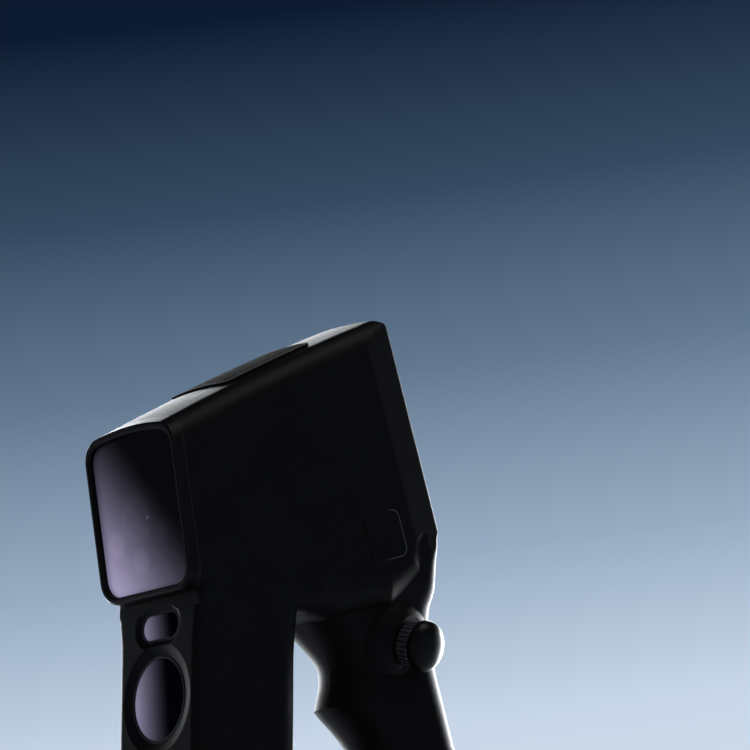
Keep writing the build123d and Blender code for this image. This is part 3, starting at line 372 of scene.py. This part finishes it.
# Each window gets a painted reflection in its colour; the front window also gets painted optics and a
# glint.
window = coated_glass("window_glass", middle=(0.0, 0.157), painted_at_low_corner=0.285, lean=12.5, rise=10.5,
                      lenses=painted_optics_spots)
camera_glass = coated_glass("camera_glass", middle=(0.0, 0.078), painted_at_low_corner=0.22, lean=28.0, rise=3.0)
sensor_glass = coated_glass("sensor_glass", middle=(0.0, 0.110), painted_at_low_corner=0.27, lean=34.0, rise=6.0)
# The port door's rear edge gets a painted highlight.
shell, door = moulded_shell(), moulded_shell("door_shell", painted_highlight_span=(0.050, 0.055))
grille, fan, smooth_cap = grille_plastic(), fan_plastic(), dial_cap()
metal, dark_steel, dark_ring, anodised = plain_steel(), blackened_steel(), bright_ring(), black_anodised()
lens, board = coated_lens(), circuit_board()
finish_of = {
    "left_housing": shell, "right_housing": shell, "display_frame": shell, "port_door": door,
    "vent_grille": grille, "base_cover": grille, "rubber_foot": black_rubber(),
    "window_frame": satin_frame(), "optics_plate": inner_plastic(),
    "front_window": window, "camera_window": camera_glass, "sensor_window": sensor_glass,
    "camera_ring": dark_ring, "sensor_ring": dark_ring,
    "projector_barrel": anodised, "camera_barrels": anodised, "camera_module": anodised,
    "sensor_module": anodised, "projector_lens": lens, "camera_lenses": lens, "camera_lens": lens,
    "fan_frame": fan, "fan_rotor": fan, "heat_sink": extruded_fins(), "battery_pack": shrink_wrap(),
    "main_board": board, "power_switch": board, "port_board": board,
    "touch_glass": screen_glass(), "display_panel": display_black(), "power_button": key_plastic(),
    "control_collar": anodised, "control_ring": knurled_ring(), "control_cap": smooth_cap,
    "usb_sockets": metal, "encoder": metal, "fan_screws": metal,
    "port_hinge_pin": dark_steel, "cover_screws": dark_steel, "housing_screws": dark_steel}
for name, finish in finish_of.items():
    for slot in nodes[name].material_slots:
        slot.link = "OBJECT"
        slot.material = finish


# ---- pieces, drawn in millimetres -------------------------------------------------------------
MM = 0.001
sideways, down = Vector((1, 0, 0)), Vector((0, 0, -1))
screen_tilt = radians(18.3)
screen_up = Vector((0, -sin(screen_tilt), cos(screen_tilt)))
screen_out = Vector((0, cos(screen_tilt), sin(screen_tilt)))
screen_y, screen_z = 56.4, 248.0    # a point of the rear face
key_z = 170.0                       # height of the power key
knob_middle, knob_axis = Vector((21.9, 72.8, 112.2)), Vector((0.935, 0.268, -0.233)).normalized()
# Housing screws: y, z and half the housing's width there. Cover screws: x and y.
housing_screw_spots = ((-8, 34, 29), (-14, 134, 31), (36, 135, 31), (38, 236, 33), (-38, 195, 33),
                       (54, 91, 16), (40, 11.5, 27), (116, 11.5, 20))
cover_screw_spots = ((-13, -24), (13, -24), (-9, 72), (9, 72))
screw_head, screw_shank = 2.8, 1.5  # radii
head_sink, thread_end = 2.8, 10     # of a housing screw: how deep its head sits, and x at its other end
cover_head_z = 1.4


def turned(form, origin, axis, profile, steps=48):
    """Turn a profile of radius and height round an axis; a radius may be a function of the angle."""
    along = axis.normalized()
    side = along.orthogonal().normalized()
    cross = along.cross(side)
    rings = []
    for radius, height in profile:
        foot = origin + along * height
        if radius == 0:
            rings.append([form.verts.new(foot * MM)])
            continue
        ring = []
        for step in range(steps):
            turn = 2 * pi * step / steps
            reach = radius(turn) if callable(radius) else radius
            ring.append(form.verts.new((foot + (side * cos(turn) + cross * sin(turn)) * reach) * MM))
        rings.append(ring)
    for low, high in zip(rings, rings[1:]):
        for step in range(steps):
            corners = [low[step % len(low)], low[(step + 1) % len(low)],
                       high[(step + 1) % len(high)], high[step % len(high)]]
            corners = list(dict.fromkeys(corners))
            if len(corners) > 2:
                form.faces.new(corners)


def strip(form, sections):
    """Join sections of four corners into a thin solid strip."""
    rows = [[form.verts.new(corner * MM) for corner in section] for section in sections]
    for one, two in zip(rows, rows[1:]):
        for k in range(4):
            form.faces.new((one[k], one[(k + 1) % 4], two[(k + 1) % 4], two[k]))
    form.faces.new(rows[0])
    form.faces.new(rows[-1])


def piece_of(name, form, finish, body, smooth=32):
    """Finish a mesh as one piece that rides on a body. Edges of more than smooth degrees stay sharp."""
    bmesh.ops.recalc_face_normals(form, faces=form.faces)
    mesh = bpy.data.meshes.new(name)
    form.to_mesh(mesh)
    form.free()
    mesh.materials.append(finish)
    mesh.polygons.foreach_set("use_smooth", [True] * len(mesh.polygons))
    mesh.set_sharp_from_angle(angle=radians(smooth))
    piece = bpy.data.objects.new(name, mesh)
    bpy.context.scene.collection.objects.link(piece)
    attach(piece, body)
    return piece


def dome(radius, height, steps=18):
    """Profile of a shallow dome over its rim."""
    return [(radius * cos(pi / 2 * k / steps) if k < steps else 0, height * sin(pi / 2 * k / steps))
            for k in range(steps + 1)]


def thumb_cap():
    """Smooth cap of the thumb control on its stem."""
    stem, stem_foot, underside = 3.0, -11.5, 6.6
    rim, dome_foot, dome_height = 11.7, 8.2, 6.9
    form = bmesh.new()
    profile = [(0, stem_foot), (stem, stem_foot), (stem, underside)]
    profile += [(10.8, underside), (11.4, 6.7), (rim, 7.1)]
    profile += [(radius, dome_foot + height) for radius, height in dome(rim, dome_height)]
    turned(form, knob_middle, knob_axis, profile, steps=96)
    piece = piece_of("thumb_cap", form, smooth_cap, "cap", smooth=40)
    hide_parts("control_cap")


def socket_screw(form, top, axis, head_foot, shank_foot, socket_half, socket_depth):
    """Socket head screw. axis points out of its head, and the feet are depths below its top.
    socket_half is half the width of the hexagon across its flats."""
    chamfer, point, taper = 0.3, 0.5, 0.4

    def flats(turn):
        return socket_half / cos((turn % (pi / 3)) - pi / 6)

    turned(form, top, axis, [
        (0, -socket_depth), (flats, -socket_depth), (flats, 0),
        (screw_head - chamfer, 0), (screw_head, -chamfer), (screw_head, -head_foot),
        (screw_shank, -head_foot), (screw_shank, -shank_foot + point),
        (screw_shank - taper, -shank_foot), (0, -shank_foot)])


def screws():
    """Screws of the housing, driven from its -X side, and of the base cover, driven from below."""
    form = bmesh.new()
    for y, z, half in housing_screw_spots:
        top = head_sink - half
        socket_screw(form, Vector((top, y, z)), -sideways, head_foot=2.2, shank_foot=thread_end - top,
                     socket_half=1.3, socket_depth=1.4)
    piece = piece_of("housing_socket_screws", form, dark_steel, "body")
    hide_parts("housing_screws")
    form = bmesh.new()
    for x, y in cover_screw_spots:
        socket_screw(form, Vector((x, y, cover_head_z)), down, head_foot=0.8, shank_foot=8.8,
                     socket_half=1.3, socket_depth=0.6)
    piece = piece_of("cover_socket_screws", form, dark_steel, "body")
    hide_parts("cover_screws")


def power_sign():
    """Printed sign on the power key: an open ring and a bar."""
    middle = Vector((0, screen_y, screen_z)) + screen_up * ((key_z - screen_z) / screen_up.z)
    low, high = 0.47, 0.53              # underside and top of the ink, off the rear face
    inner, outer, gap = 1.35, 1.65, 76  # radii of the ring, and its opening in degrees
    bar_half, bar_foot, bar_top = 0.15, 0.5, 1.9
    steps = 40

    def spot(across, up, level):
        return middle + sideways * across + screen_up * up + screen_out * level

    ring = []
    for step in range(steps + 1):
        turn = radians(90 + gap / 2 + (360 - gap) * step / steps)
        ring.append([spot(cos(turn) * radius, sin(turn) * radius, level) for radius, level in
                     ((inner, low), (inner, high), (outer, high), (outer, low))])
    bar = [[spot(across, up, level) for across, level in
            ((-bar_half, low), (-bar_half, high), (bar_half, high), (bar_half, low))]
           for up in (bar_foot, bar_top)]
    form = bmesh.new()
    strip(form, ring)
    strip(form, bar)
    piece_of("power_sign", form, printed_grey(), "power")


thumb_cap()
screws()
power_sign()


# ---- stage ------------------------------------------------------------------------------------
def stage_disc(radius, middle):
    """Round pale floor under the object."""
    mesh = bpy.data.meshes.new("floor")
    form = bmesh.new()
    bmesh.ops.create_circle(form, cap_ends=True, segments=128, radius=radius,
                            matrix=Matrix.Translation(middle))
    form.to_mesh(mesh)
    form.free()
    floor = bpy.data.objects.new("floor", mesh)
    bpy.context.scene.collection.objects.link(floor)
    mesh.materials.append(Finish("pale_floor").set(color=(0.42, 0.44, 0.47), roughness=0.7))


def soft_lamp(name, place, aim, size, power, shade=(1.0, 1.0, 1.0), mirrored=True, lights=True):
    """Soft box. mirrored says that gloss shows it, lights that it lights matt surfaces."""
    light = bpy.data.lights.new(name, "AREA")
    light.shape, light.size, light.size_y = "RECTANGLE", size[0], size[1]
    light.energy, light.color = power, shade
    lamp = bpy.data.objects.new(name, light)
    lamp.location = place
    lamp.rotation_euler = (Vector(aim) - Vector(place)).to_track_quat("-Z", "Y").to_euler()
    lamp.visible_camera = False
    lamp.visible_glossy, lamp.visible_diffuse = mirrored, lights
    bpy.context.scene.collection.objects.link(lamp)


def studio_world():
    """Backdrop that falls from pale at the horizon to deep blue overhead. The camera sees it, gloss
    mirrors it dimmed, and everything else gets a plain pale light."""
    world = bpy.data.worlds.new("studio")
    bpy.context.scene.world = world
    f = Finish(owner=world)
    overhead, foot, climb = (-0.075, -0.093, 1.0), 0.06, 3.5
    height = f.compare("DOT_PRODUCT", f.node("ShaderNodeTexCoord", out="Generated"), overhead)
    stops = ((0.0, (0.70, 0.78, 0.87)), (0.29, (0.58, 0.68, 0.81)), (0.45, (0.31, 0.41, 0.54)),
             (0.62, (0.125, 0.19, 0.28)), (0.78, (0.036, 0.068, 0.12)), (0.95, (0.004, 0.011, 0.03)))
    backdrop = f.node("ShaderNodeValToRGB", {"stops": stops}, {"Fac": (height - foot) * climb})
    seen, mirrored = (f.node("ShaderNodeLightPath", out=way) for way in ("Is Camera Ray", "Is Glossy Ray"))
    dimmed = f.mix(0.30, low=(0.0, 0.0, 0.0), high=backdrop)
    shade = f.mix(mirrored, low=(0.50, 0.53, 0.58), high=dimmed)
    f.put(f.tree.nodes["Background"].inputs["Color"], f.mix(seen, low=shade, high=backdrop))


stage_disc(radius=0.36, middle=(0.0, 0.04, 0.0))
studio_world()
cool = (0.93, 0.96, 1.0)
soft_lamp("back", (-1.70, 1.23, 1.05), aim=(0.0, 0.04, 0.18), size=(1.3, 1.0), power=46.0, shade=cool)
soft_lamp("rim_right", (-0.72, 1.85, 0.30), aim=(0.0, 0.07, 0.12), size=(1.2, 0.9), power=115.0, shade=cool,
          lights=False)
soft_lamp("rim_left", (-1.90, 0.25, 0.25), aim=(0.0, 0.0, 0.12), size=(1.0, 1.0), power=50.0, shade=cool,
          lights=False)
soft_lamp("top", (0.7, 0.3, 1.6), aim=(0.0, 0.03, 0.16), size=(0.9, 0.9), power=8.0)
soft_lamp("left", (-1.6, -1.1, 0.5), aim=(0.0, 0.0, 0.14), size=(0.9, 0.9), power=12.0,
          shade=(0.94, 0.95, 1.0), mirrored=False)

# ---- camera, low in front of the +X side, looking up a little -----------------------------------
azimuth, pitch = radians(51.1), radians(13.7)
look = Vector((-sin(azimuth) * cos(pitch), cos(azimuth) * cos(pitch), sin(pitch)))
camera_data = bpy.data.cameras.new("camera")
camera_data.lens, camera_data.sensor_width = 182.06, 36.0
camera = bpy.data.objects.new("camera", camera_data)
camera.location = (1.3179, -0.9927, -0.1729)
camera.rotation_euler = look.to_track_quat("-Z", "Y").to_euler()
bpy.context.scene.collection.objects.link(camera)
bpy.context.scene.camera = camera
bpy.context.scene.view_settings.view_transform = "Standard"
